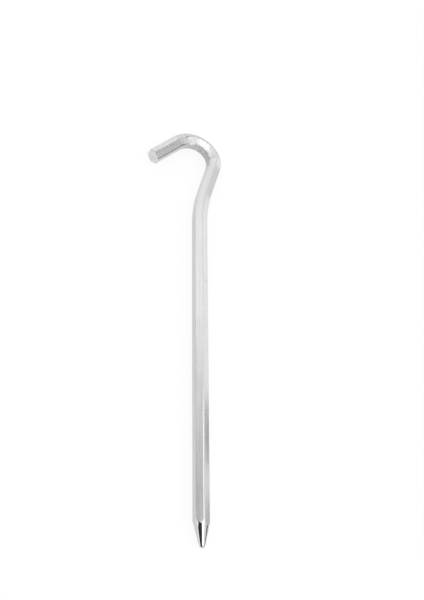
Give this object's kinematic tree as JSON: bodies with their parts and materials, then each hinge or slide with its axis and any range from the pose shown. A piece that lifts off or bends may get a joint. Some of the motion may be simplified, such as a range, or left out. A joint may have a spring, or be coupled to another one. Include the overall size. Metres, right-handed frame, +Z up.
{
  "type": "tent stake",
  "caption": "Hexagonal aluminium bar tent stake: straight shank, gently offset open hook for a guy line at the top, and a turned conical point.",
  "frame": {"origin": "under the middle of the stake as it lies flat, at the height of the surface it rests on", "axes": "+Y along the shank from the point towards the hook; +Z up, square to the plane of the hook; the hook opens towards -X"},
  "size_m": [0.0306, 0.18, 0.0059],
  "materials": {
    "bare_aluminium": "satin drawn bar, bright turned point"
  },
  "bodies": {
    "root": {"stake": "bare_aluminium"}
  },
  "joints": []
}
